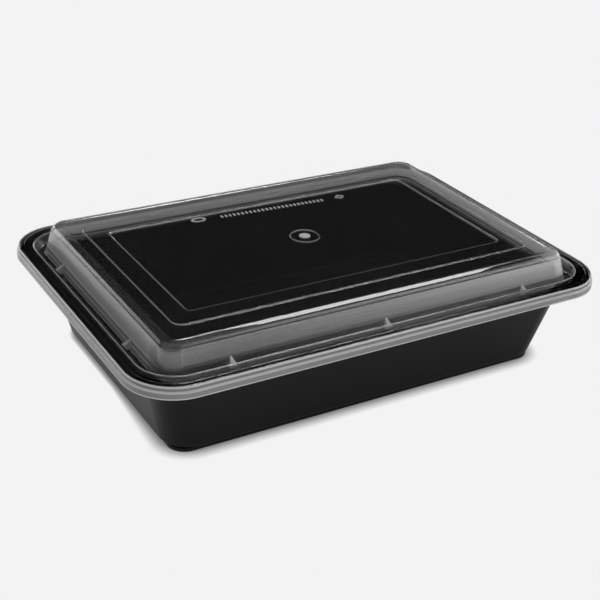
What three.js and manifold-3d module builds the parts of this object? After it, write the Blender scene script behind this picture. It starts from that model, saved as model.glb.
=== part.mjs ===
// Rectangular takeaway meal container: a black tray and the clear dome lid that is pressed over its rim.
// Millimetres, +Z up, origin on the table under the middle of the tray, X along the long sides.

import * as THREE from 'three';
import Module from 'manifold-3d';

// Plan of the container. Every ring round it is a rounded rectangle given by its half length.
const OUTER_LENGTH = 222;
const OUTER_WIDTH = 156;
const OUTER_CORNER = 21.5;
const SIDE_DIFFERENCE = (OUTER_LENGTH - OUTER_WIDTH) / 2;
const CORNER_STEPS = 9;
const EDGE_STEPS = 3;

// Tray.
const TRAY_WALL = 0.8;
const FOOT_INNER = 87.2;
const FOOT_OUTER = 89.6;
const FOOT_CORNER = 7.8;
const FOOT_HEIGHT = 1.7;
const FOOT_SIDE_DIFFERENCE = SIDE_DIFFERENCE - 0.6;
const FOOT_LEDGE_HALF = 90.4;
const FOOT_LEDGE_Z = 2;
const FLOOR_TOP = 2.4;
const WALL_FOOT_HALF = 91.7;
const WALL_FOOT_Z = 2.7;
const WALL_FOOT_CORNER = 12.5;
const WALL_HEAD_HALF = 100.4;
const WALL_HEAD_CORNER = 16.4;
const LEDGE_TOP = 38.5;
const LEDGE_HALF = 103.9;
const STEP_LEAN = 1;
const FLANGE_TOP = 42.9;
const FLANGE_HALF = 109.35;
const FLANGE_LIP_BOTTOM = 40.6;

// Lid.
const LID_WALL = 0.5;
const SKIRT_BOTTOM = 38.6;
const SKIRT_STEP_LOW = 41.2;
const SKIRT_STEP_HIGH = 41.7;
const SKIRT_HALF = 110.3;
const RIM_TOP = 43.8;
const RIM_BEAD = 0.35;
const RIM_BEAD_WIDTH = 0.5;
const RIM_INNER_HALF = 104.1;
const RIM_INNER_CORNER = 16;
const RIM_INNER_SIDE_DIFFERENCE = SIDE_DIFFERENCE + 0.9;
const RIM_STEP_HALF = 107.7;
const RIM_STEP_WIDTH = 0.2;
const RIM_STEP_DROP = 0.08;
const GROOVE_FLOOR = 39.4;
const GROOVE_OUTER_HALF = 102.6;
const DOME_FOOT_HALF = 99;
const DOME_FOOT_CORNER = 9.5;
const DOME_EDGE_HALF = 96;
const DOME_EDGE_Z = 49.9;
const DOME_EDGE_CORNER = 6.8;
const SHOULDER_STEP_HALF = 95.75;
const SHOULDER_STEP_Z = 50.45;
const SHOULDER_LOW_HALF = 95.2;
const SHOULDER_LOW_Z = 50.7;
const SHOULDER_HALF = 94.3;
const SHOULDER_Z = 51.9;
const PLATEAU_HALF = 91.6;
const PLATEAU_Z = 52.5;
const FRAME_HALF = 85.6;
const FRAME_CORNER = 5.3;
const FRAME_SIDE_DIFFERENCE = 36;
const FRAME_RISE = 0.4;
const FRAME_STEP = 0.7;
const PANEL_HALF = 76;
const PANEL_CORNER = 1.8;
const PANEL_Z = 52.4;

// Round mark left by moulding, in the middle of the lid's panel.
const GATE_X = 0.6;
const GATE_Y = 1.5;
const GATE_RADIUS = 6.8;
const GATE_RIM = 0.7;
const GATE_HEIGHT = 0.3;
const GATE_NUB_RADIUS = 2.5;
const GATE_SIDES = 32;

// Small wedges across the lid's groove.
const LUG_WIDTH = 2.4;
const LUG_CREST_WIDTH = 0.5;
const LUG_RISE = 1.3;
const LUG_SINK = 0.35;
const LUGS_LONG_SIDE = [-70, 0, 70];
const LUGS_SHORT_SIDE = [-36, 36];

const wasm = await Module();
wasm.setup();

const station = (half, z, corner, difference = SIDE_DIFFERENCE, soft = 0) => (
  { a: half, b: half - difference, r: corner, z, soft }
);

// Corner radius that runs parallel to the outermost edge.
const parallelCorner = (half) => OUTER_CORNER - (OUTER_LENGTH / 2 - half);

function mix(p, q, t) {
  return {
    a: p.a + (q.a - p.a) * t,
    b: p.b + (q.b - p.b) * t,
    r: p.r + (q.r - p.r) * t,
    z: p.z + (q.z - p.z) * t,
    soft: 0,
  };
}

function gap(p, q) {
  return Math.hypot(q.a - p.a, q.z - p.z);
}

// Rounds every station that asks for it, by the cut length named in its `soft`.
function soften(path) {
  const out = [];
  path.forEach((p, i) => {
    const before = path[i - 1];
    const after = path[i + 1];
    if (!p.soft || !before || !after) {
      out.push(p);
      return;
    }
    const from = mix(p, before, p.soft / gap(p, before));
    const to = mix(p, after, p.soft / gap(p, after));
    for (let k = 0; k <= EDGE_STEPS; k += 1) {
      const t = k / EDGE_STEPS;
      out.push(mix(mix(from, p, t), mix(p, to, t), t));
    }
  });
  return out;
}

// Path at a constant distance below the given one, which runs outwards and then down.
function beside(path, distance) {
  const normals = path.slice(1).map((q, i) => {
    const p = path[i];
    const length = gap(p, q);
    return [(q.z - p.z) / length, -(q.a - p.a) / length];
  });
  return path.map((p, i) => {
    const m = normals[Math.max(i - 1, 0)];
    const n = normals[Math.min(i, normals.length - 1)];
    const scale = distance / (1 + m[0] * n[0] + m[1] * n[1]);
    const shift = (m[0] + n[0]) * scale;
    return { a: p.a + shift, b: p.b + shift, r: p.r + shift, z: p.z + (m[1] + n[1]) * scale, soft: 0 };
  });
}

function ringPoints({ a, b, r, z }) {
  const points = [];
  const corners = [[1, 1], [-1, 1], [-1, -1], [1, -1]];
  corners.forEach(([sx, sy], quarter) => {
    for (let k = 0; k <= CORNER_STEPS; k += 1) {
      const angle = (quarter + k / CORNER_STEPS) * Math.PI / 2;
      points.push([sx * (a - r) + r * Math.cos(angle), sy * (b - r) + r * Math.sin(angle), z]);
    }
  });
  return points;
}

// Closed body from rings that run from the middle of the underside round the edge to the middle of the top.
function ringBody(path) {
  const rings = path.map(ringPoints);
  const count = rings[0].length;
  const vertices = rings.flat();
  const triangles = [];
  for (let i = 0; i + 1 < rings.length; i += 1) {
    for (let j = 0; j < count; j += 1) {
      const next = (j + 1) % count;
      const p = i * count + j;
      const q = i * count + next;
      triangles.push([p, q + count, p + count], [p, q, q + count]);
    }
  }
  const first = vertices.push([0, 0, path[0].z]) - 1;
  const last = vertices.push([0, 0, path.at(-1).z]) - 1;
  const lastRing = (rings.length - 1) * count;
  for (let j = 0; j < count; j += 1) {
    const next = (j + 1) % count;
    triangles.push([first, next, j], [last, lastRing + j, lastRing + next]);
  }
  return solid(vertices, triangles);
}

function solid(vertices, triangles) {
  const mesh = new wasm.Mesh({
    numProp: 3,
    vertProperties: new Float32Array(vertices.flat()),
    triVerts: new Uint32Array(triangles.flat()),
  });
  return new wasm.Manifold(mesh);
}

// Prism between two polygons with the same number of corners, both counted anticlockwise from above.
function prism(lower, upper) {
  const n = lower.length;
  const triangles = [];
  for (let j = 0; j < n; j += 1) {
    const k = (j + 1) % n;
    triangles.push([j, k, k + n], [j, k + n, j + n]);
  }
  for (let j = 1; j + 1 < n; j += 1) {
    triangles.push([0, j + 1, j], [n, n + j, n + j + 1]);
  }
  return solid([...lower, ...upper], triangles);
}

function disc(x, y, lowRadius, lowZ, highRadius, highZ) {
  const circle = (radius, z) => Array.from({ length: GATE_SIDES }, (_, k) => {
    const angle = k / GATE_SIDES * 2 * Math.PI;
    return [x + radius * Math.cos(angle), y + radius * Math.sin(angle), z];
  });
  return prism(circle(lowRadius, lowZ), circle(highRadius, highZ));
}

function trayPaths() {
  const foot = (half, z, corner, soft = 0) => station(half, z, corner, FOOT_SIDE_DIFFERENCE, soft);
  const footInnerCorner = FOOT_CORNER - (FOOT_OUTER - FOOT_INNER);
  const underLedge = LEDGE_TOP - TRAY_WALL;
  const stepTop = FLANGE_TOP - TRAY_WALL;
  const stepOuter = LEDGE_HALF + TRAY_WALL;
  const outside = [
    foot(FOOT_INNER, FOOT_HEIGHT, footInnerCorner),
    foot(FOOT_INNER + 0.2, 0, footInnerCorner + 0.2),
    foot(FOOT_OUTER, 0, FOOT_CORNER, 0.25),
    foot(FOOT_OUTER + 0.2, FOOT_HEIGHT, FOOT_CORNER + 0.2),
    station(FOOT_LEDGE_HALF, FOOT_LEDGE_Z, WALL_FOOT_CORNER - (WALL_FOOT_HALF - FOOT_LEDGE_HALF)),
    station(WALL_FOOT_HALF, WALL_FOOT_Z, WALL_FOOT_CORNER, SIDE_DIFFERENCE, 0.7),
    station(WALL_HEAD_HALF, underLedge, WALL_HEAD_CORNER, SIDE_DIFFERENCE, 0.8),
    station(stepOuter, underLedge, parallelCorner(stepOuter), SIDE_DIFFERENCE, 0.8),
    station(stepOuter + STEP_LEAN, stepTop, parallelCorner(stepOuter + STEP_LEAN)),
    station(FLANGE_HALF - TRAY_WALL, stepTop, parallelCorner(FLANGE_HALF - TRAY_WALL)),
    station(FLANGE_HALF - TRAY_WALL, FLANGE_LIP_BOTTOM, parallelCorner(FLANGE_HALF - TRAY_WALL)),
  ];
  const inside = [
    station(FLANGE_HALF, FLANGE_LIP_BOTTOM, parallelCorner(FLANGE_HALF)),
    station(FLANGE_HALF, FLANGE_TOP, parallelCorner(FLANGE_HALF), SIDE_DIFFERENCE, 0.9),
    station(LEDGE_HALF + STEP_LEAN, FLANGE_TOP, parallelCorner(LEDGE_HALF + STEP_LEAN), SIDE_DIFFERENCE, 0.7),
    station(LEDGE_HALF, LEDGE_TOP, parallelCorner(LEDGE_HALF)),
    station(WALL_HEAD_HALF - TRAY_WALL, LEDGE_TOP, WALL_HEAD_CORNER - TRAY_WALL, SIDE_DIFFERENCE, 0.7),
    station(WALL_FOOT_HALF - TRAY_WALL, FLOOR_TOP, WALL_FOOT_CORNER - TRAY_WALL, SIDE_DIFFERENCE, 3.5),
    station(WALL_FOOT_HALF - 12, FLOOR_TOP, WALL_FOOT_CORNER - 9),
  ];
  return [...soften(outside), ...soften(inside)];
}

function lidTopPath() {
  const frame = (half, z, corner) => station(half, z, corner, FRAME_SIDE_DIFFERENCE);
  const frameTop = PLATEAU_Z + FRAME_RISE;
  const rimInner = (half, z, corner) => station(half, z, corner, RIM_INNER_SIDE_DIFFERENCE);
  const rimLow = RIM_TOP - RIM_STEP_DROP;
  const shoulderCorner = (half) => DOME_EDGE_CORNER - (DOME_EDGE_HALF - half) * 0.4;
  const wide = OUTER_LENGTH / 2;
  return [
    frame(PANEL_HALF - FRAME_STEP / 2, PANEL_Z, PANEL_CORNER),
    frame(PANEL_HALF + FRAME_STEP / 2, frameTop, PANEL_CORNER + FRAME_STEP),
    frame(FRAME_HALF - FRAME_STEP / 2, frameTop, FRAME_CORNER - FRAME_STEP),
    frame(FRAME_HALF + FRAME_STEP / 2, PLATEAU_Z, FRAME_CORNER),
    station(PLATEAU_HALF, PLATEAU_Z, shoulderCorner(PLATEAU_HALF), SIDE_DIFFERENCE, 1.2),
    station(SHOULDER_HALF, SHOULDER_Z, shoulderCorner(SHOULDER_HALF), SIDE_DIFFERENCE, 0.6),
    station(SHOULDER_LOW_HALF, SHOULDER_LOW_Z, shoulderCorner(SHOULDER_LOW_HALF)),
    station(SHOULDER_STEP_HALF, SHOULDER_STEP_Z, shoulderCorner(SHOULDER_STEP_HALF)),
    station(DOME_EDGE_HALF, DOME_EDGE_Z, DOME_EDGE_CORNER),
    station(DOME_FOOT_HALF, GROOVE_FLOOR, DOME_FOOT_CORNER, SIDE_DIFFERENCE, 0.9),
    station(GROOVE_OUTER_HALF, GROOVE_FLOOR, RIM_INNER_CORNER - 1.3, SIDE_DIFFERENCE, 0.9),
    rimInner(RIM_INNER_HALF, RIM_TOP + RIM_BEAD, RIM_INNER_CORNER),
    rimInner(RIM_INNER_HALF + RIM_BEAD_WIDTH, RIM_TOP, RIM_INNER_CORNER + RIM_BEAD_WIDTH),
    station(RIM_STEP_HALF, RIM_TOP, parallelCorner(RIM_STEP_HALF)),
    station(RIM_STEP_HALF + RIM_STEP_WIDTH, rimLow, parallelCorner(RIM_STEP_HALF + RIM_STEP_WIDTH)),
    station(SKIRT_HALF, rimLow, parallelCorner(SKIRT_HALF), SIDE_DIFFERENCE, 0.8),
    station(SKIRT_HALF, SKIRT_STEP_HIGH, parallelCorner(SKIRT_HALF)),
    station(wide, SKIRT_STEP_LOW, OUTER_CORNER),
    station(wide, SKIRT_BOTTOM, OUTER_CORNER),
  ];
}

// Wedge that leans on the dome wall and spans the groove; `turn` is the quarter turn of its side.
function lug(along, turn) {
  const longSide = turn % 2 === 0;
  const side = longSide ? SIDE_DIFFERENCE : 0;
  const outer = RIM_INNER_HALF - LUG_SINK - side;
  const wallSlope = (DOME_FOOT_HALF - DOME_EDGE_HALF) / (DOME_EDGE_Z - GROOVE_FLOOR);
  const crest = RIM_TOP + LUG_RISE;
  const wallAt = (z) => DOME_FOOT_HALF - side - (z - GROOVE_FLOOR) * wallSlope;
  const low = GROOVE_FLOOR - LUG_SINK;
  const corner = (u, v, z) => {
    const angle = turn * Math.PI / 2;
    return [u * Math.cos(angle) - v * Math.sin(angle), u * Math.sin(angle) + v * Math.cos(angle), z];
  };
  const w = LUG_WIDTH / 2;
  const c = LUG_CREST_WIDTH / 2;
  const lower = [
    corner(along - w, -(outer - 1.1), low),
    corner(along + w, -(outer - 1.1), low),
    corner(along + w, -(wallAt(low) - LUG_SINK), low),
    corner(along - w, -(wallAt(low) - LUG_SINK), low),
  ];
  const upper = [
    corner(along - w, -outer, RIM_TOP - 0.1),
    corner(along + w, -outer, RIM_TOP - 0.1),
    corner(along + c, -(wallAt(crest) - LUG_SINK), crest),
    corner(along - c, -(wallAt(crest) - LUG_SINK), crest),
  ];
  return prism(lower, upper);
}

function lidBody() {
  const top = soften(lidTopPath());
  const under = beside(top, LID_WALL);
  let body = ringBody([...under, ...top.reverse()]);
  const rimZ = PANEL_Z - 0.2;
  const mark = disc(GATE_X, GATE_Y, GATE_RADIUS, rimZ, GATE_RADIUS - 0.2, PANEL_Z + GATE_HEIGHT)
    .subtract(disc(GATE_X, GATE_Y, GATE_RADIUS - GATE_RIM, rimZ - 1, GATE_RADIUS - GATE_RIM + 0.2, PANEL_Z + 1));
  const nub = disc(GATE_X, GATE_Y, GATE_NUB_RADIUS, rimZ, GATE_NUB_RADIUS - 0.4, PANEL_Z + GATE_HEIGHT);
  body = body.add(mark).add(nub);
  for (const x of LUGS_LONG_SIDE) {
    body = body.add(lug(x, 0)).add(lug(x, 2));
  }
  for (const y of LUGS_SHORT_SIDE) {
    body = body.add(lug(y, 1)).add(lug(y, 3));
  }
  return body;
}

function toMesh(name, body, material) {
  const { vertProperties, triVerts } = body.getMesh();
  const geometry = new THREE.BufferGeometry();
  geometry.setAttribute('position', new THREE.BufferAttribute(new Float32Array(vertProperties), 3));
  geometry.setIndex(new THREE.BufferAttribute(new Uint32Array(triVerts), 1));
  const faceted = geometry.toNonIndexed();
  faceted.computeVertexNormals();
  const mesh = new THREE.Mesh(faceted, material);
  mesh.name = name;
  return mesh;
}

const blackPlastic = new THREE.MeshStandardMaterial({ name: 'black_plastic', color: 0x161616, roughness: 0.35 });
const clearPlastic = new THREE.MeshStandardMaterial({
  name: 'clear_plastic', color: 0xdfe3e4, roughness: 0.08, transparent: true, opacity: 0.3,
});

const group = new THREE.Group();
group.name = 'takeaway_meal_container';
group.add(toMesh('tray', ringBody(trayPaths()), blackPlastic));
group.add(toMesh('lid', lidBody(), clearPlastic));

export default group;
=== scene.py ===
"""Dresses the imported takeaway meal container: a black tray and the clear dome lid pressed over its rim.

Paths and sizes here are in millimetres and meshes in metres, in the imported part's own frame. Its origin is on the
table under the middle of the tray, and X runs along the container.
"""
import math
from collections import namedtuple

import bmesh
import bpy
from bpy.props import FloatProperty, FloatVectorProperty, IntProperty, PointerProperty
from mathutils import Matrix, Vector


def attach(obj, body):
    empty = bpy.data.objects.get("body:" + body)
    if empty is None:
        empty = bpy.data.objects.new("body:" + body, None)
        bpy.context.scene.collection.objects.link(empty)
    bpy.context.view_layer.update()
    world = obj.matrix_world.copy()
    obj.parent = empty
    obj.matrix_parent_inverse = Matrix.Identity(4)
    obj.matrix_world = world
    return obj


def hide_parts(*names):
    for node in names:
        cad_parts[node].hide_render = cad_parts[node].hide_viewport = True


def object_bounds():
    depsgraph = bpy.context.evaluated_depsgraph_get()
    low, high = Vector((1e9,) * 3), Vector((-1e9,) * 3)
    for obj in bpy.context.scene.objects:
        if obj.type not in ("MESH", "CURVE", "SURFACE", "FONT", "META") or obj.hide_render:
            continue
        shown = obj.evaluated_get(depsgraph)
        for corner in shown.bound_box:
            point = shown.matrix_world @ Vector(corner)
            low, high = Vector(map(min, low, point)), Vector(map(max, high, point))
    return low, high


bl_info = {
    "name": "Takeaway meal container",
    "version": (1, 0, 0),
    "blender": (4, 5, 0),
    "location": "View3D > Sidebar > Container",
    "description": "Builds a black takeaway tray with its clear dome lid, and a pale studio stage",
    "category": "Add Mesh",
}

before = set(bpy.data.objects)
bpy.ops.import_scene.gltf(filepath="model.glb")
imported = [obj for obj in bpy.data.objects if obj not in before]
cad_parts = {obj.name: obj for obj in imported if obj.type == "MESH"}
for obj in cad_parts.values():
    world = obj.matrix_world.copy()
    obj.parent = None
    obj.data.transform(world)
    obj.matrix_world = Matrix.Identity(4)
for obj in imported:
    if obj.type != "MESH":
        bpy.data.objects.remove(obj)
CAD_BOX = [list(corner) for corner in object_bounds()]

MM = 0.001
LENGTH = (CAD_BOX[1][0] - CAD_BOX[0][0]) / MM
WIDTH = (CAD_BOX[1][1] - CAD_BOX[0][1]) / MM
SHARP_DEGREES = 20.0

# Half length less half width of a ring: of most of them, and of the three kinds that are cut a little narrower
# or wider.
SIDE_DIFFERENCE = (LENGTH - WIDTH) / 2
FRAME_SIDE_DIFFERENCE = SIDE_DIFFERENCE + 3
INNER_RIM_SIDE_DIFFERENCE = SIDE_DIFFERENCE + 0.9
FOOT_SIDE_DIFFERENCE = SIDE_DIFFERENCE - 0.6

# Tray.
FLOOR_HALF, FLOOR_TOP, FLOOR_CORNER = 79.7, 2.4, 3.5
WALL_FOOT_HALF, WALL_FOOT_CORNER = 91.7, 12.5
LEDGE_HALF, LEDGE_CORNER = 100.4, 16.4
LIP_BOTTOM = 40.6

# Lid: the dome wall, the panel inside the raised frame, the corners of the shoulder, the rim and the skirt.
DOME_FOOT_HALF = 99
DOME_EDGE_HALF, DOME_EDGE_HEIGHT = 96.0, 49.9
PANEL_DROP = 0.1
SHOULDER_HALF, SHOULDER_CORNER, SHOULDER_TAPER = 95.8, 6.8, 0.4
RIM_EDGE_HALF, RIM_EDGE_DROP = 110.3, 0.08
SKIRT_STEP_TOP, SKIRT_STEP, SKIRT_BOTTOM = 41.7, 41.2, 38.6

# Round mark a little off the middle of the top.
GATE_X = 0.6
GATE_Y = 1.5
GATE_RADIUS = 6.8
GATE_RIM = 0.7
GATE_HEIGHT = 0.3
GATE_NUB = 2.5
GATE_NUB_HEIGHT = 0.4
GATE_CLEARANCE = 0.01

# Row of bars behind it, with a ring at each end: its place along the row, its number of corners and its stretch.
ROW_MIDDLE = (2.75, 34.35)
ROW_LENGTH = 53.5
ROW_TURN = -2.6
ROW_BARS = 26
BAR_WIDTH = 0.85
BAR_LENGTH = 2.3
END_RINGS = ((-37, 32, 1.7), (35.5, 4, 1.2))
END_RING_RADIUS = 2.1
END_RING_HOLE = 1.4
END_RING_SHIFT = 0.6
MARK_HEIGHT = 0.25
MARK_CHAMFER = 0.12
MARK_CLEARANCE = 0.02

# Wedges that lean on the dome wall.
LUG_WIDTH = 2.6
LUG_CREST = 0.4
LUG_RISE = 0.2
LUG_NOSE_HALF = 101.6
LUG_NOSE_DROP = 2.2
LUG_TOE_IN = 1.2
LUG_LIFT = 0.6
LUG_CLEARANCE = 0.05
LUGS_ALONG_LENGTH = (-70, 0, 70)
LUGS_ALONG_WIDTH = (-36, 36)

# Cloudiness of the clear sheet, with painted highlight lines in it. "Out" is how far, in metres, a point stands out
# from the block whose corners are here: the top ends at 0.006, the dome wall at 0.0095, the groove at 0.014, and
# the flat rim at 0.020. The steps of the raised frame get white lines, partly stress whitening and partly painted
# highlight. The top of the dome wall gets a painted highlight line below a clearer gap on the shoulder, and the
# bead gets a painted highlight line. The dome wall clears towards its foot, and the skirt is cloudy.
CORNER_MIDDLE = (0.0895, 0.0565, 10.0)
WALL_OUT = 0.0098
CLOUD_AND_PAINTED_LINES_BY_OUT = (
    (0.0, 0.22), (0.0008, 0.22), (0.0012, 0.05), (0.0058, 0.03), (0.0062, 0.03), (0.0065, 0.50),
    (0.0068, 0.50), (0.0071, 0.27), (0.0084, 0.22), (0.0093, 0.05), (0.0098, 0.02), (0.0138, 0.02),
    (0.0143, 0.2), (0.0152, 0.2), (0.0156, 0.02), (0.0196, 0.02), (0.0201, 0.6),
)
HAZE_BY_OUT = ((0.0, 0.008), (0.0010, 0.008), (0.0020, 0.022), (0.0058, 0.022), (0.0064, 0.0), (0.02, 0.0))
# Where painted light makes the dome's left wall cloudy, and where a painted dark line runs along the back
# shoulder's crest.
PAINTED_LIGHT_LEFT_WALL_BY_OUT = ((0.0, 0.0), (0.0066, 0.0), (0.0068, 0.34), (0.0095, 0.34), (0.0099, 0.0), (0.02, 0.0))
CREST_BY_OUT = ((0.0, 0.0), (0.0052, 0.0), (0.0055, 1.0), (0.0064, 1.0), (0.0066, 0.0), (0.02, 0.0))
DOME_BY_OUT = ((0.0, 1.0), (WALL_OUT, 1.0), (0.0102, 0.0), (0.02, 0.0))
# Paleness of the cloud by height in metres: painted highlight lines along the skirt's bottom lip, its step and the
# rim's outer edge, darker bands between them, and painted light that makes the dome wall paler towards its top.
PAINTED_LIGHT_BY_HEIGHT = (
    (0.0386, 1.0), (0.0390, 1.0), (0.0391, 0.20), (0.0410, 0.20), (0.0411, 1.0), (0.0417, 1.0),
    (0.0418, 0.10), (0.0428, 0.10), (0.0431, 1.0), (0.04365, 1.0), (0.0440, 0.5), (0.0450, 0.45),
    (0.0500, 0.6), (0.0530, 0.6),
)
MOST_CLOUD = 0.8
# Cloud and darkening of the painted dark line on the back crest.
CREST_CLOUD = 0.6
CREST_PAINTED_SHADE = 0.3
WAVE_STRENGTH = 0.05

# Camera fitted to the view: azimuth, elevation and roll in degrees, the rest in millimetres.
CAMERA_AZIMUTH = -31.466
CAMERA_ELEVATION = 27.436
CAMERA_ROLL = 2.749
CAMERA_DISTANCE = 542.979
CAMERA_SLIDE = (-1.353, -7.591)
CAMERA_AIM_HEIGHT = 30.0
FOCAL_PIXELS = 1212.614
IMAGE_SIDE = 600
SENSOR = 36.0

# Floor in metres: its half side, the reach of its painted contact shadow, and how pale it is in reflections along
# Y, with painted shade in front of the tray.
STAGE_HALF = 6.0
SHADOW_REACH, NARROW_SHADOW_REACH = 0.0065, 0.0026
WIDE_SHADOW_REACH = 0.12
REFLECTED_FLOOR_PAINTED_SHADE = (
    (-0.30, 1.0), (-0.15, 0.9), (-0.10, 0.4), (-0.06, 0.45), (-0.02, 1.0), (0.35, 1.0), (0.7, 0.8),
)

# Middles of the glow low in front on the right, of the dark screen that the flat tops mirror, and of the light low
# behind on the left.
GLOW_DIRECTION = (0.62, -0.78, 0.04)
SCREEN_DIRECTION = (0.5, 0.86, 0.1)
REAR_DIRECTION = (-0.3, 0.95, 0.03)

# Soft lamp behind: azimuth from +Y towards +X and elevation in degrees, distance and sides in metres.
LAMP_AZIMUTH = 41
LAMP_ELEVATION = 49
LAMP_DISTANCE = 1.0
LAMP_SIDES = (0.5, 0.26)
LAMP_LEVEL = 9.0

Station = namedtuple("Station", "a b r z soft")


def station(half, z, corner, difference=SIDE_DIFFERENCE, soft=0.0):
    """Rounded rectangle round the container, given by its half length."""
    return Station(half, half - difference, corner, z, soft)


def parallel_station(half, z, outer_corner, soft=0.0):
    """Station whose corners run parallel to the lid's outermost edge."""
    return station(half, z, outer_corner - (LENGTH / 2 - half), soft=soft)


def mix(p, q, t):
    """Station part of the way from one to another."""
    return Station(*(u + (v - u) * t for u, v in zip(p[:4], q[:4])), 0.0)


def gap(p, q):
    """Length of the wall between two stations."""
    return math.hypot(q.a - p.a, q.z - p.z)


def soften(path, steps):
    """Rounds every station that asks for it, by the cut length named in its soft value."""
    out = []
    for i, p in enumerate(path):
        if not p.soft or i in (0, len(path) - 1):
            out.append(p)
            continue
        start = mix(p, path[i - 1], p.soft / gap(p, path[i - 1]))
        end = mix(p, path[i + 1], p.soft / gap(p, path[i + 1]))
        for k in range(steps + 1):
            t = k / steps
            out.append(mix(mix(start, p, t), mix(p, end, t), t))
    return out


def beneath(path, distance):
    """Path at a constant distance under the given one, which runs outwards and then down."""
    normals = []
    for p, q in zip(path, path[1:]):
        run = gap(p, q)
        normals.append(((q.z - p.z) / run, -(q.a - p.a) / run))
    out = []
    for i, p in enumerate(path):
        m = normals[max(i - 1, 0)]
        n = normals[min(i, len(normals) - 1)]
        scale = distance / (1 + m[0] * n[0] + m[1] * n[1])
        shift = (m[0] + n[0]) * scale
        out.append(Station(p.a + shift, p.b + shift, p.r + shift, p.z + (m[1] + n[1]) * scale, 0.0))
    return out


def ring_points(ring, steps):
    """Points anticlockwise round a station."""
    points = []
    for quarter, (sx, sy) in enumerate(((1, 1), (-1, 1), (-1, -1), (1, -1))):
        for k in range(steps + 1):
            angle = (quarter + k / steps) * math.pi / 2
            x = sx * (ring.a - ring.r) + ring.r * math.cos(angle)
            y = sy * (ring.b - ring.r) + ring.r * math.sin(angle)
            points.append((x, y, ring.z))
    return points


def add_skin(bm, rings, capped=True):
    """Closed body over rings of points, anticlockwise from above. Without caps the last ring joins the first."""
    loops = [[bm.verts.new(Vector(point) * MM) for point in ring] for ring in rings]
    following = loops[1:] if capped else loops[1:] + loops[:1]
    for low, high in zip(loops, following):
        for j in range(len(low)):
            k = (j + 1) % len(low)
            bm.faces.new((low[j], low[k], high[k], high[j]))
    if capped:
        bm.faces.new(reversed(loops[0]))
        bm.faces.new(loops[-1])


def path_body(path, steps):
    """Body of a path that runs from the middle of the underside, round the edge, to the middle of the top."""
    bm = bmesh.new()
    add_skin(bm, [ring_points(ring, steps) for ring in path])
    return bm


def circle(middle, radius, count=48):
    """Points anticlockwise round a circle."""
    return [
        (middle[0] + radius * math.cos(k / count * math.tau), middle[1] + radius * math.sin(k / count * math.tau))
        for k in range(count)
    ]


def inset(points, middle, distance):
    """Outline moved towards its middle."""
    out = []
    for x, y in points:
        away = Vector((x - middle[0], y - middle[1]))
        short = away * (1 - distance / away.length)
        out.append((middle[0] + short.x, middle[1] + short.y))
    return out


def at_height(points, z):
    """Outline placed at a height."""
    return [(x, y, z) for x, y in points]


def add_band(bm, outer, inner, bottom, base, height):
    """Closed band between two outlines with as many corners, with a chamfered top."""
    middle = (sum(x for x, _ in outer) / len(outer), sum(y for _, y in outer) / len(outer))
    top = base + height
    add_skin(bm, (
        at_height(outer, bottom),
        at_height(outer, top - MARK_CHAMFER),
        at_height(inset(outer, middle, MARK_CHAMFER), top),
        at_height(inset(inner, middle, -MARK_CHAMFER), top),
        at_height(inner, top - MARK_CHAMFER),
        at_height(inner, bottom),
    ), capped=False)


def add_button(bm, outline, middle, bottom, base, height):
    """Closed low button with a rounded top."""
    add_skin(bm, (
        at_height(outline, bottom),
        at_height(outline, base + height * 0.5),
        at_height(inset(outline, middle, 0.15), base + height * 0.85),
        at_height(inset(outline, middle, 0.35), base + height),
    ))


def add_lug(bm, size, along_side, turn):
    """Small wedge that leans on the dome wall above the groove; turn is the quarter turn of its side."""
    groove = size.groove_floor / MM
    rim_top = size.rim_top / MM
    side = 0 if turn % 2 else SIDE_DIFFERENCE
    slope = (DOME_FOOT_HALF - DOME_EDGE_HALF) / (DOME_EDGE_HEIGHT - groove)

    def wall_at(z):
        return DOME_FOOT_HALF - side - (z - groove) * slope + LUG_CLEARANCE

    def edge(width, out, z):
        """Left and right end of one edge across the wedge."""
        angle = turn * math.pi / 2
        return [(
            u * math.cos(angle) + out * math.sin(angle),
            u * math.sin(angle) - out * math.cos(angle),
            z,
        ) for u in (along_side - width / 2, along_side + width / 2)]

    nose = LUG_NOSE_HALF - side
    low = groove + LUG_LIFT
    crest = rim_top + LUG_RISE
    toe = edge(LUG_WIDTH, nose - LUG_TOE_IN, low)
    heel = edge(LUG_WIDTH, wall_at(low), low)
    front = edge(LUG_WIDTH, nose, rim_top - LUG_NOSE_DROP)
    tip = edge(LUG_CREST, wall_at(crest), crest)
    add_skin(bm, (toe + heel[::-1], front + tip[::-1]))


def finish_piece(name, bm, material, node=None):
    """Turns a bmesh into a named piece that rides on the part, with its material, and frees the bmesh."""
    bmesh.ops.recalc_face_normals(bm, faces=bm.faces)
    mesh = bpy.data.meshes.new(name)
    bm.to_mesh(mesh)
    bm.free()
    mesh.shade_smooth()
    mesh.set_sharp_from_angle(angle=math.radians(SHARP_DEGREES))
    mesh.materials.append(material)
    piece = bpy.data.objects.new(name, mesh)
    bpy.context.scene.collection.objects.link(piece)
    normals = piece.modifiers.new("even_normals", "WEIGHTED_NORMAL")
    normals.mode = "FACE_AREA_WITH_ANGLE"
    normals.keep_sharp = True
    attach(piece, "root")
    if node:
        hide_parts(node)


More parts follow.
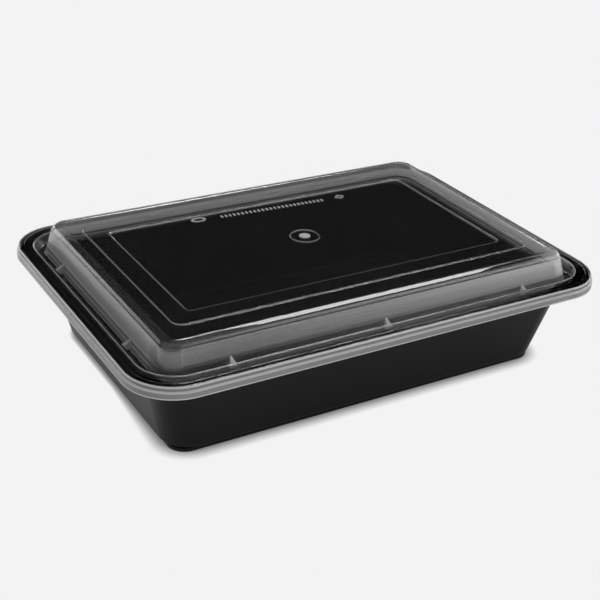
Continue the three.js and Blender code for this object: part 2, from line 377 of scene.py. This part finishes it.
class Nodes:
    """Short way to add and join the nodes of one material or world."""

    def __init__(self, owner):
        owner.use_nodes = True
        self.owner = owner
        self.tree = owner.node_tree
        self.tree.nodes.clear()

    def add(self, kind, values=None, **settings):
        """Node with its settings, and with its inputs set, or joined where the value is another node's output."""
        node = self.tree.nodes.new(kind)
        for key, value in settings.items():
            setattr(node, key, value)
        for key, value in (values or {}).items():
            socket = node.inputs[key]
            if isinstance(value, bpy.types.NodeSocket):
                self.tree.links.new(value, socket)
            else:
                socket.default_value = value
        return node

    def number(self, operation, *values, **settings):
        """Number worked out from one or two others."""
        return self.add("ShaderNodeMath", dict(enumerate(values)), operation=operation, **settings).outputs[0]

    def vector(self, operation, *values):
        """Vector worked out from one or two others, or a number for a length or a dot product."""
        node = self.add("ShaderNodeVectorMath", dict(enumerate(values)), operation=operation)
        return node.outputs["Value" if operation in {"LENGTH", "DOT_PRODUCT"} else "Vector"]

    def axes(self, vector):
        """Outputs X, Y and Z of a vector."""
        return self.add("ShaderNodeSeparateXYZ", {"Vector": vector}).outputs

    def noise(self, place, scale, detail):
        """Cloudy noise from 0 to 1."""
        return self.add("ShaderNodeTexNoise", {"Vector": place, "Scale": scale, "Detail": detail}).outputs["Fac"]

    def span(self, value, start=0.0, end=1.0, low=0.0, high=1.0, **settings):
        """Number that goes from low to high while another goes from start to end, and no further."""
        ends = {"Value": value, "From Min": start, "From Max": end, "To Min": low, "To Max": high}
        return self.add("ShaderNodeMapRange", ends, **settings).outputs["Result"]

    def ramp(self, value, stops):
        """Number on straight lines through (position, level) stops, made with one colour ramp."""
        low, high = stops[0][0], stops[-1][0]
        node = self.add("ShaderNodeValToRGB", {"Fac": self.span(value, low, high)})
        elements = node.color_ramp.elements
        for i, (position, level) in enumerate(stops):
            at = (position - low) / (high - low)
            element = elements[i] if i < 2 else elements.new(at)
            element.position = at
            element.color = (level, level, level, 1.0)
        return node.outputs["Color"]

    def bump(self, height, strength, distance):
        """Normal of a surface with small hills."""
        hills = {"Height": height, "Strength": strength, "Distance": distance}
        return self.add("ShaderNodeBump", hills).outputs["Normal"]

    def surface(self, shader):
        """The material, with this shader on its surface."""
        self.add("ShaderNodeOutputMaterial", {"Surface": shader.outputs[0]})
        return self.owner


def black_plastic(finish):
    """Satin black polypropylene with a fine moulded grain, glossier outside and on the rim."""
    n = Nodes(bpy.data.materials.new("satin_black_plastic"))
    place = n.add("ShaderNodeTexCoord").outputs["Object"]
    spot = n.axes(place)
    grain = n.noise(place, 2600.0, 2.0)
    cloud = n.noise(place, 38.0, 3.0)
    dark, pale = ((*[channel * share for channel in finish.black_colour], 1.0) for share in (0.8, 1.25))
    tint = n.add("ShaderNodeMix", {"Factor": cloud, "A": dark, "B": pale}, data_type="RGBA")

    # The front of the rim stays without a coat, because it lies dark under the lid.
    facing = n.add("ShaderNodeNewGeometry").outputs["True Normal"]
    outward = n.vector("DOT_PRODUCT", n.vector("MULTIPLY", place, (1.0, 1.0, 0.0)), facing)
    outside = n.number("GREATER_THAN", outward, 0.0001)
    at_rim = n.number("GREATER_THAN", spot["Z"], 0.0380)
    at_front = n.number("LESS_THAN", spot["Y"], -0.062)
    front_rim = n.number("MULTIPLY", at_front, at_rim)
    coated = n.number("SUBTRACT", n.number("MAXIMUM", outside, at_rim), front_rim, use_clamp=True)

    rough = finish.black_roughness
    relief = n.bump(grain, 0.12, 0.00004)
    shader = n.add("ShaderNodeBsdfPrincipled", {
        "Base Color": tint.outputs["Result"],
        "Roughness": n.span(cloud, start=0.3, end=0.7, low=rough - 0.03, high=rough + 0.04),
        "IOR": 1.49,
        "Specular IOR Level": finish.black_gloss * 0.1,
        "Normal": relief,
        "Coat Weight": n.span(coated, high=finish.black_gloss * 2),
        "Coat Roughness": rough,
        "Coat IOR": 1.49,
        "Coat Normal": relief,
    })
    return n.surface(shader)


def clear_plastic(finish):
    """Clear thermoformed sheet: glassy on its flats, a little cloudy on its steep walls where it was stretched
    thin, with painted light, painted shade and painted highlight lines in its cloud.
    """
    n = Nodes(bpy.data.materials.new("clear_plastic_painted_light"))
    place = n.add("ShaderNodeTexCoord").outputs["Object"]
    spot = n.axes(place)
    offset = n.vector("SUBTRACT", n.vector("ABSOLUTE", place), CORNER_MIDDLE)
    out = n.vector("LENGTH", n.vector("MAXIMUM", offset, (0.0, 0.0, 0.0)))

    # Painted light and shade: the walls at the back and on the right are made cloudier and paler, and the front
    # wall clearer and darker towards the left.
    painted_light_at_back = n.span(spot["Y"], start=0.050, end=0.060, low=1.0, high=2.2)
    painted_light_at_right = n.span(spot["X"], start=0.088, end=0.094, low=1.0, high=2.5)
    on_wall = n.number("LESS_THAN", out, WALL_OUT)
    front_wall = n.span(spot["Y"], start=-0.050, end=-0.060, high=on_wall)
    painted_shade_towards_left = n.span(spot["X"], start=0.080, end=-0.060, low=-0.4, high=0.6)
    painted_shade_front_left = n.number("MULTIPLY", front_wall, painted_shade_towards_left)
    painted_light_and_shade = n.number("SUBTRACT", n.number("MAXIMUM", painted_light_at_back, painted_light_at_right), painted_shade_front_left)
    cloud_with_painted_light = n.number("MINIMUM", n.number("MULTIPLY", n.ramp(out, CLOUD_AND_PAINTED_LINES_BY_OUT), painted_light_and_shade), MOST_CLOUD)

    # Painted light: the left wall is cloudy all over, so it shows paler. A painted dark line runs along the crest
    # of the back shoulder, cloudy and darkened.
    off_corner = n.span(spot["Y"], start=-0.062, end=-0.050)
    at_left = n.span(spot["X"], start=-0.088, end=-0.095, high=off_corner)
    painted_light_left_wall = n.number("MULTIPLY", n.ramp(out, PAINTED_LIGHT_LEFT_WALL_BY_OUT), at_left)
    far_back = n.number("GREATER_THAN", spot["Y"], 0.056)
    crest = n.number("MULTIPLY", n.ramp(out, CREST_BY_OUT), far_back)
    cloud_with_painted_light = n.number("MAXIMUM", cloud_with_painted_light, painted_light_left_wall)
    cloud_with_painted_light = n.number("MAXIMUM", cloud_with_painted_light, n.number("MULTIPLY", crest, CREST_CLOUD))

    # Only steep parts take this cloud, with its painted light and painted highlight lines. The rest has a faint
    # haze.
    normal = n.axes(n.add("ShaderNodeNewGeometry").outputs["True Normal"])
    steep = n.span(n.number("ABSOLUTE", normal["Z"]), start=0.97, end=0.82)
    cloud = n.number("MAXIMUM", n.number("MULTIPLY", cloud_with_painted_light, steep), n.ramp(out, HAZE_BY_OUT))
    # The cloud's paleness is painted: highlight lines and light by height, scaled by the painted light and shade of
    # the walls, and darkened on the painted line along the back crest. Light glowing through the cloud takes the
    # same paleness.
    pale = n.number("MULTIPLY", n.ramp(spot["Z"], PAINTED_LIGHT_BY_HEIGHT), painted_light_and_shade)
    pale = n.number("MINIMUM", pale, 1.0)
    pale = n.number("MULTIPLY", pale, n.span(crest, low=1.0, high=CREST_PAINTED_SHADE))
    clear = (*finish.clear_colour, 1.0)
    tint = n.add("ShaderNodeMix", {"Factor": cloud, "A": clear, "B": pale}, data_type="RGBA")

    # The dome has slow waves and fine scuffs, and the groove and the rim are smooth.
    on_dome = n.ramp(out, DOME_BY_OUT)
    dull = finish.clear_roughness
    rough = n.span(n.noise(place, 900.0, 2.0), start=0.3, end=0.7, low=dull * 0.6, high=dull * 1.5)
    glassy = n.add("ShaderNodeBsdfPrincipled", {
        "Base Color": tint.outputs["Result"],
        "Roughness": n.number("MULTIPLY", rough, on_dome),
        "IOR": 1.5,
        "Transmission Weight": n.number("SUBTRACT", 1.0, cloud),
        "Normal": n.bump(n.noise(place, 45.0, 1.0), n.number("MULTIPLY", on_dome, WAVE_STRENGTH), 0.0002),
    })
    far_side = n.add("ShaderNodeBsdfTranslucent", {"Color": pale})
    through = n.number("MULTIPLY", cloud, finish.glow_through)
    return n.surface(n.add("ShaderNodeMixShader", {0: through, 1: glassy.outputs[0], 2: far_side.outputs[0]}))


def frosted_plastic_painted_shade():
    """Cloudy plastic of the small raised marks, with painted shade on the wedges at the ends, and fainter on the
    top of the lid.
    """
    n = Nodes(bpy.data.materials.new("frosted_plastic_painted_shade"))
    place = n.add("ShaderNodeTexCoord").outputs["Object"]
    spot = n.axes(place)
    speck = n.noise(place, 1500.0, 3.0)
    grain = n.span(speck, start=0.3, end=0.7, low=0.75, high=0.95)
    # Painted shade: the wedges at the ends of the container are darker.
    painted_shade_at_ends = n.span(n.number("ABSOLUTE", spot["X"]), start=0.088, end=0.095, low=1.0, high=0.5)
    on_top = n.span(spot["Z"], start=0.047, end=0.050, low=1.0, high=0.62)
    shader = n.add("ShaderNodeBsdfPrincipled", {
        "Base Color": n.number("MULTIPLY", n.number("MULTIPLY", grain, painted_shade_at_ends), on_top),
        "Roughness": 0.55,
        "IOR": 1.5,
        "Transmission Weight": 0.25,
        "Normal": n.bump(speck, 0.5, 0.0001),
    })
    return n.surface(shader)


def floor_paper(stage):
    """Pale paper that lights itself evenly, with a painted contact shadow where the tray stands, and painted shade
    round and in front of the tray where it shows in reflections.
    """
    n = Nodes(bpy.data.materials.new("pale_floor_painted_shadow"))
    spot = n.axes(n.add("ShaderNodeTexCoord").outputs["Object"])
    aside = n.span(spot["X"], start=-0.094, end=-0.080, low=1.0, high=0.0)
    inwards = n.span(spot["Y"], start=-0.050, end=0.0)
    narrow = n.number("MULTIPLY", aside, inwards)
    reach = n.span(narrow, low=SHADOW_REACH, high=NARROW_SHADOW_REACH)
    # Painted contact shadow: ambient occlusion darkens the self-lit floor, reaching less far beside the left end.
    near = n.add("ShaderNodeAmbientOcclusion", {"Distance": reach}, samples=16)
    wide = n.add("ShaderNodeAmbientOcclusion", {"Distance": WIDE_SHADOW_REACH}, samples=16)
    shade = n.span(near.outputs["AO"], start=0.35, end=0.95, low=0.25)
    seen = n.add("ShaderNodeEmission", {"Color": shade, "Strength": stage.floor_level})
    # In reflections the floor shows a wider painted shadow round the tray and painted shade in front of it.
    reflected_painted_shade = n.number("MULTIPLY", wide.outputs["AO"], n.ramp(spot["Y"], REFLECTED_FLOOR_PAINTED_SHADE))
    mirrored = n.add("ShaderNodeEmission", {"Color": reflected_painted_shade, "Strength": 1.0})
    camera_ray = n.add("ShaderNodeLightPath").outputs["Is Camera Ray"]
    return n.surface(n.add("ShaderNodeMixShader", {0: camera_ray, 1: mirrored.outputs[0], 2: seen.outputs[0]}))


def length(name, description, millimetres):
    """Property for a length, stored in metres."""
    return FloatProperty(
        name=name, description=description, default=millimetres * MM, unit="LENGTH", precision=4)


def factor(name, description, default):
    """Property from 0 to 1."""
    return FloatProperty(name=name, description=description, subtype="FACTOR", default=default, min=0, max=1)


def colour(name, description, default):
    """Property for a colour."""
    return FloatVectorProperty(
        name=name, description=description, subtype="COLOR", default=default, min=0, max=1)


class ContainerTray(bpy.types.PropertyGroup):
    wall: length("Wall", "Thickness of the tray's wall", 0.8)
    ledge_top: length("Ledge height", "Height of the ledge inside the flange", 38.5)
    flange_top: length("Flange height", "Height of the tray's flange", 42.9)
    flange_half: length("Flange half length", "Half length of the flange's outer edge", 109.35)


class ContainerLid(bpy.types.PropertyGroup):
    wall: length("Wall", "Thickness of the lid's sheet", 0.5)
    outer_corner: length("Outer corner", "Corner radius of the lid's outermost edge", 21.5)
    rim_top: length("Rim height", "Height of the lid's flat rim", 43.8)
    groove_floor: length("Groove height", "Height of the groove between rim and dome", 39.4)
    plateau: length("Top height", "Height of the dome's flat top", 52.5)
    frame_rise: length("Frame rise", "Height of the raised frame over the flat top", 0.4)


class ContainerFinish(bpy.types.PropertyGroup):
    black_colour: colour("Black", "Colour of the tray", (0.0055, 0.0055, 0.0058))
    black_gloss: factor("Black gloss", "Strength of the tray's reflections", 0.32)
    black_roughness: factor("Black roughness", "How dull the tray is", 0.34)
    clear_colour: colour("Clear", "Tint of the lid", (0.96, 0.965, 0.965))
    glow_through: factor("Glow", "How much light the cloudy walls let glow through", 0.5)
    clear_roughness: factor("Clear roughness", "How dull the lid is", 0.02)


class ContainerDetail(bpy.types.PropertyGroup):
    corner_steps: IntProperty(name="Corner steps", description="Faces round each quarter turn", default=20, min=4)
    edge_steps: IntProperty(name="Edge steps", description="Faces across each rounded edge", default=6, min=2)


class ContainerStage(bpy.types.PropertyGroup):
    floor_level: FloatProperty(
        name="Floor brightness", description="How pale the floor looks", default=0.896, min=0)


class CONTAINER_OT_tray(bpy.types.Operator):
    """Build the black tray"""
    bl_idname = "container.tray"
    bl_label = "Tray"

    def execute(self, context):
        size = context.scene.container_tray
        detail = context.scene.container_detail
        wall = size.wall / MM
        ledge_top = size.ledge_top / MM
        flange_top = size.flange_top / MM
        flange_half = size.flange_half / MM
        outer_corner = context.scene.container_lid.outer_corner / MM

        def along(half, z, soft=0.0):
            return parallel_station(half, z, outer_corner, soft)

        def foot(half, z, corner, soft=0.0):
            return station(half, z, corner, FOOT_SIDE_DIFFERENCE, soft)

        # Half length, height and corner radius of each ring, from the middle of the underside to the lip and back.
        under_ledge = ledge_top - wall
        under_flange = flange_top - wall
        outside = [
            foot(87.2, 1.6, 5.4),
            foot(87.4, 0, 5.6),
            foot(89.6, 0, 7.8, soft=0.25),
            foot(89.8, 1.7, 8.0, soft=0.1),
            station(90.4, 2.0, 11.2, soft=0.1),
            station(WALL_FOOT_HALF, 2.7, WALL_FOOT_CORNER, soft=0.8),
            station(LEDGE_HALF, under_ledge, LEDGE_CORNER, soft=0.8),
            along(104.7, under_ledge, 0.8),
            along(105.7, under_flange),
            along(flange_half - wall, under_flange),
            along(flange_half - wall, LIP_BOTTOM),
        ]
        inside = [
            along(flange_half, LIP_BOTTOM),
            along(flange_half, flange_top, 0.9),
            along(104.9, flange_top, 0.7),
            along(103.9, ledge_top),
            station(LEDGE_HALF - wall, ledge_top, LEDGE_CORNER - wall, soft=0.7),
            station(WALL_FOOT_HALF - wall, FLOOR_TOP, WALL_FOOT_CORNER - wall, soft=3.5),
            station(FLOOR_HALF, FLOOR_TOP, FLOOR_CORNER),
        ]
        path = soften(outside, detail.edge_steps) + soften(inside, detail.edge_steps)
        material = black_plastic(context.scene.container_finish)
        finish_piece("tray_shell", path_body(path, detail.corner_steps), material, "tray")
        return {"FINISHED"}


class CONTAINER_OT_lid(bpy.types.Operator):
    """Build the clear dome lid"""
    bl_idname = "container.lid"
    bl_label = "Lid"

    def execute(self, context):
        size = context.scene.container_lid
        detail = context.scene.container_detail
        outer_corner = size.outer_corner / MM
        rim_top = size.rim_top / MM
        groove = size.groove_floor / MM
        plateau = size.plateau / MM
        panel = plateau - PANEL_DROP
        frame_top = plateau + size.frame_rise / MM

        def framed(half, z, corner):
            return station(half, z, corner, FRAME_SIDE_DIFFERENCE, soft=0.12)

        def shoulder(half, z, soft):
            return station(half, z, SHOULDER_CORNER - (SHOULDER_HALF - half) * SHOULDER_TAPER, soft=soft)

        def inner_rim(half, z, corner):
            return station(half, z, corner, INNER_RIM_SIDE_DIFFERENCE, soft=0.12)

        def along(half, z, soft=0.0):
            return parallel_station(half, z, outer_corner, soft)

        # Half length, height and corner radius of each ring, from the middle of the top to the skirt's bottom edge.
        top = soften([
            framed(75.6, panel, 1.8),
            framed(76.5, frame_top, 2.6),
            framed(85.25, frame_top, 4.6),
            framed(85.95, plateau, 5.3),
            shoulder(90.6, plateau, 0.7),
            shoulder(92.1, frame_top, 0.7),
            shoulder(94.7, plateau - 0.2, 0.5),
            shoulder(95.4, 50.9, 0.2),
            shoulder(SHOULDER_HALF, 50.6, 0.12),
            shoulder(DOME_EDGE_HALF, DOME_EDGE_HEIGHT, 0.12),
            station(DOME_FOOT_HALF, groove, 9.5, soft=0.9),
            station(102.6, groove, 14.7, soft=0.9),
            inner_rim(104.1, rim_top + 0.35, 16),
            inner_rim(104.6, rim_top, 16.5),
            along(107.7, rim_top, 0.1),
            along(107.9, rim_top - RIM_EDGE_DROP, 0.1),
            along(RIM_EDGE_HALF, rim_top - RIM_EDGE_DROP, 0.8),
            along(RIM_EDGE_HALF, SKIRT_STEP_TOP, 0.15),
            along(LENGTH / 2, SKIRT_STEP, 0.2),
            along(LENGTH / 2, SKIRT_BOTTOM),
        ], detail.edge_steps)
        sheet = path_body(beneath(top, size.wall / MM) + top[::-1], detail.corner_steps)
        material = clear_plastic(context.scene.container_finish)
        finish_piece("lid_shell", sheet, material, "lid")
        ring = bmesh.new()
        middle = (GATE_X, GATE_Y)
        outer, inner = circle(middle, GATE_RADIUS), circle(middle, GATE_RADIUS - GATE_RIM)
        add_band(ring, outer, inner, panel + GATE_CLEARANCE, panel, GATE_HEIGHT)
        finish_piece("lid_ring", ring, material)
        return {"FINISHED"}


class CONTAINER_OT_marks(bpy.types.Operator):
    """Build the cloudy raised marks on the lid"""
    bl_idname = "container.marks"
    bl_label = "Marks"

    def execute(self, context):
        size = context.scene.container_lid
        base = size.plateau / MM - PANEL_DROP
        bottom = base + MARK_CLEARANCE
        turn = Matrix.Rotation(math.radians(ROW_TURN), 2)

        def on_row(x, y):
            moved = turn @ Vector((x, y))
            return (ROW_MIDDLE[0] + moved.x, ROW_MIDDLE[1] + moved.y)

        bm = bmesh.new()
        add_button(bm, circle((GATE_X, GATE_Y), GATE_NUB), (GATE_X, GATE_Y), bottom, base, GATE_NUB_HEIGHT)
        pitch = ROW_LENGTH / ROW_BARS
        half_w, half_l = BAR_WIDTH / 2, BAR_LENGTH / 2
        for k in range(ROW_BARS):
            x = (k - (ROW_BARS - 1) / 2) * pitch
            outline = [on_row(x + u * half_w, v * half_l) for u, v in ((-1, -1), (1, -1), (1, 1), (-1, 1))]
            add_button(bm, outline, on_row(x, 0), bottom, base, MARK_HEIGHT)
        for x, count, wide in END_RINGS:
            outer, inner = (
                [on_row(x + px * wide, END_RING_SHIFT + py) for px, py in circle((0, 0), radius, count)]
                for radius in (END_RING_RADIUS, END_RING_HOLE)
            )
            add_band(bm, outer, inner, bottom, base, MARK_HEIGHT)
        for places, turns in ((LUGS_ALONG_LENGTH, (0, 2)), (LUGS_ALONG_WIDTH, (1, 3))):
            for place in places:
                for quarter in turns:
                    add_lug(bm, size, place, quarter)
        finish_piece("lid_marks", bm, frosted_plastic_painted_shade())
        return {"FINISHED"}


class CONTAINER_OT_stage(bpy.types.Operator):
    """Build the floor, the studio light and the camera"""
    bl_idname = "container.stage"
    bl_label = "Stage"

    def execute(self, context):
        scene = context.scene
        self.add_camera(scene)
        self.add_floor(scene)
        self.add_walls(scene)
        self.add_lamp(scene)
        scene.view_settings.view_transform = "Standard"
        scene.cycles.max_bounces = 24
        scene.cycles.transmission_bounces = 20
        scene.cycles.transparent_max_bounces = 16
        scene.cycles.glossy_bounces = 8
        scene.cycles.use_denoising = True
        scene.cycles.sample_clamp_indirect = 6.0
        return {"FINISHED"}

    def add_camera(self, scene):
        """Camera at the fitted place."""
        angles = (CAMERA_AZIMUTH, CAMERA_ELEVATION, CAMERA_ROLL)
        azimuth, elevation, roll = (math.radians(angle) for angle in angles)
        flat = math.cos(elevation)
        back = Vector((math.sin(azimuth) * flat, -math.cos(azimuth) * flat, math.sin(elevation)))
        level = Vector((math.cos(azimuth), math.sin(azimuth), 0))
        rise = back.cross(level)
        right = level * math.cos(roll) + rise * math.sin(roll)
        up = rise * math.cos(roll) - level * math.sin(roll)
        eye = Vector((0, 0, CAMERA_AIM_HEIGHT)) + back * CAMERA_DISTANCE
        eye += right * CAMERA_SLIDE[0] + up * CAMERA_SLIDE[1]
        data = bpy.data.cameras.new("camera")
        data.sensor_width = SENSOR
        data.lens = SENSOR * FOCAL_PIXELS / IMAGE_SIDE
        data.clip_start = 0.01
        camera = bpy.data.objects.new("camera", data)
        camera.matrix_world = Matrix.Translation(eye * MM) @ Matrix((right, up, back)).transposed().to_4x4()
        scene.collection.objects.link(camera)
        scene.camera = camera

    def add_floor(self, scene):
        """Wide pale floor at the table's height."""
        bm = bmesh.new()
        corners = ((-1, -1), (1, -1), (1, 1), (-1, 1))
        bm.faces.new([bm.verts.new((x * STAGE_HALF, y * STAGE_HALF, 0)) for x, y in corners])
        mesh = bpy.data.meshes.new("floor")
        bm.to_mesh(mesh)
        bm.free()
        floor = bpy.data.objects.new("floor", mesh)
        scene.collection.objects.link(floor)
        mesh.materials.append(floor_paper(scene.container_stage))

    def add_walls(self, scene):
        """Light from the studio's walls, with a dark screen behind for the flat tops to mirror."""
        scene.world = bpy.data.worlds.new("studio")
        n = Nodes(scene.world)
        place = n.add("ShaderNodeTexCoord").outputs["Generated"]
        spot = n.axes(place)

        def smooth(value, start, end, high, low=0.0):
            return n.span(value, start, end, low, high, interpolation_type="SMOOTHSTEP")

        def towards(direction):
            return n.vector("DOT_PRODUCT", place, Vector(direction).normalized())

        def brightest(*parts):
            total = parts[0]
            for part in parts[1:]:
                total = n.number("MAXIMUM", total, part)
            return total

        above = smooth(spot["Z"], start=0.68, end=0.92, high=0.6)
        front = smooth(spot["Y"], start=0.0, end=-0.6, high=0.42)
        right = smooth(spot["X"], start=0.80, end=0.97, high=1.3)
        rear = smooth(towards(REAR_DIRECTION), start=0.91, end=0.99, high=2.4)
        glow = smooth(towards(GLOW_DIRECTION), start=0.86, end=0.995, high=2.2)
        not_behind = smooth(spot["Y"], start=0.7, end=0.2, high=1.0)
        left = n.number("MULTIPLY", smooth(spot["X"], start=-0.1, end=-0.7, high=0.55), not_behind)
        screen = smooth(towards(SCREEN_DIRECTION), start=0.97, end=0.86, high=1.0)
        low = n.number("MULTIPLY", smooth(spot["Z"], start=0.26, end=0.02, high=0.9), screen)
        low = n.number("MULTIPLY", low, smooth(spot["Y"], start=0.7, end=0.2, high=1.0, low=0.5))
        total = n.number("ADD", brightest(above, front, left, low, right, rear), glow)
        background = n.add("ShaderNodeBackground", {"Color": total})
        n.add("ShaderNodeOutputWorld", {"Surface": background.outputs[0]})

    def add_lamp(self, scene):
        """Soft rectangular lamp that faces the container from behind, unseen through the clear sheet."""
        turn, lift = math.radians(LAMP_AZIMUTH), math.radians(LAMP_ELEVATION)
        away = Vector((math.sin(turn) * math.cos(lift), math.cos(turn) * math.cos(lift), math.sin(lift)))
        data = bpy.data.lights.new("back_lamp", "AREA")
        data.shape = "RECTANGLE"
        data.size, data.size_y = LAMP_SIDES
        data.energy = LAMP_LEVEL * math.pi * LAMP_SIDES[0] * LAMP_SIDES[1]
        lamp = bpy.data.objects.new("back_lamp", data)
        lamp.location = away * LAMP_DISTANCE
        lamp.rotation_mode = "QUATERNION"
        lamp.rotation_quaternion = away.to_track_quat("Z", "Y")
        lamp.visible_transmission = False
        scene.collection.objects.link(lamp)


class CONTAINER_PT_panel(bpy.types.Panel):
    """Sidebar panel with the sizes, the finishes and the build steps"""
    bl_idname = "CONTAINER_PT_panel"
    bl_label = "Takeaway container"
    bl_space_type = "VIEW_3D"
    bl_region_type = "UI"
    bl_category = "Container"

    def draw(self, context):
        for name, _ in GROUPS:
            group = getattr(context.scene, name)
            box = self.layout.box()
            for field in group.bl_rna.properties:
                if field.identifier not in {"rna_type", "name"}:
                    box.prop(group, field.identifier)
        for operator in OPERATORS:
            self.layout.operator(operator.bl_idname)


GROUPS = (
    ("container_tray", ContainerTray),
    ("container_lid", ContainerLid),
    ("container_finish", ContainerFinish),
    ("container_detail", ContainerDetail),
    ("container_stage", ContainerStage),
)
OPERATORS = (CONTAINER_OT_stage, CONTAINER_OT_tray, CONTAINER_OT_lid, CONTAINER_OT_marks)


def register():
    for name, group in GROUPS:
        bpy.utils.register_class(group)
        setattr(bpy.types.Scene, name, PointerProperty(type=group))
    for cls in (*OPERATORS, CONTAINER_PT_panel):
        bpy.utils.register_class(cls)


def unregister():
    for cls in (CONTAINER_PT_panel, *reversed(OPERATORS)):
        bpy.utils.unregister_class(cls)
    for name, group in reversed(GROUPS):
        delattr(bpy.types.Scene, name)
        bpy.utils.unregister_class(group)


def main():
    register()
    bpy.ops.container.stage()
    bpy.ops.container.tray()
    bpy.ops.container.lid()
    bpy.ops.container.marks()
    bpy.context.view_layer.update()


if __name__ == "__main__":
    main()
